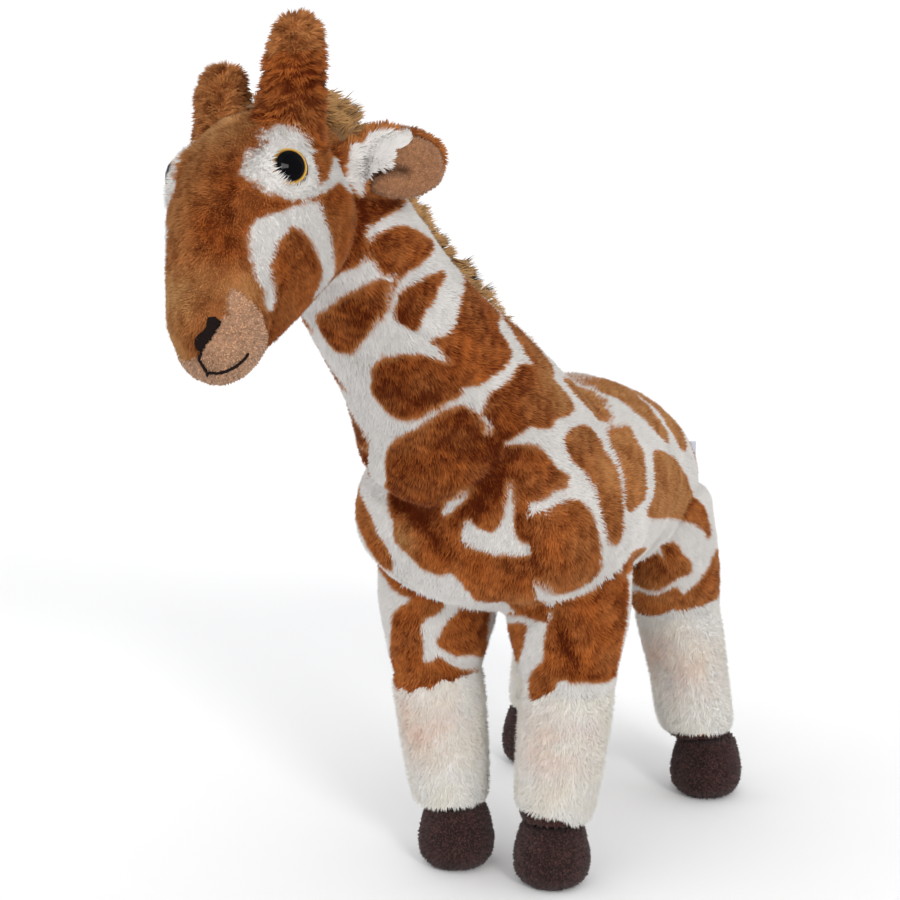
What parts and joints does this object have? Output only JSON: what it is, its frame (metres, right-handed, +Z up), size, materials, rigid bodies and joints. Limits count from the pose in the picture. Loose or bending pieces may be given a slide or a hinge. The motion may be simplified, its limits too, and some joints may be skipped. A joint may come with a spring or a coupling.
{
  "type": "plush toy giraffe",
  "caption": "Stuffed plush giraffe that stands on four legs, neck stretched forward, with patchwork-patterned coat, cream stockings and dark cloth hooves.",
  "frame": {"origin": "centre of the toy's box in plan, at the level of its soles", "axes": "+Z up, -Y the way the toy faces, +X to the toy's left"},
  "size_m": [0.134, 0.3518, 0.3533],
  "materials": {
    "patch_plush": "short pile plush, brown patches on off-white",
    "cream_plush": "deep cream pile with a pink blush",
    "tan_cloth": "tan looped terry",
    "mane_plush": "long golden brown pile",
    "hoof_cloth": "dark brown looped terry",
    "eye_plastic": "black pupil in a thin gold iris, under clear gloss",
    "label_satin": "bare white satin ribbon"
  },
  "bodies": {
    "root": {"ear_left": "patch_plush", "ear_lining_left": "tan_cloth", "ear_lining_right": "tan_cloth", "ear_right": "patch_plush", "eye_left": "eye_plastic", "eye_right": "eye_plastic", "head": "patch_plush", "hoof_front_left": "hoof_cloth", "hoof_front_right": "hoof_cloth", "hoof_hind_left": "hoof_cloth", "hoof_hind_right": "hoof_cloth", "horn_left": "patch_plush", "horn_right": "patch_plush", "label": "label_satin", "leg_front_left": "patch_plush", "leg_front_right": "patch_plush", "leg_hind_left": "patch_plush", "leg_hind_right": "patch_plush", "mane": "mane_plush", "muzzle": "tan_cloth", "neck": "patch_plush", "stocking_front_left": "cream_plush", "stocking_front_right": "cream_plush", "stocking_hind_left": "cream_plush", "stocking_hind_right": "cream_plush", "tail": "patch_plush", "tail_tuft": "mane_plush", "trunk": "patch_plush"}
  },
  "joints": []
}
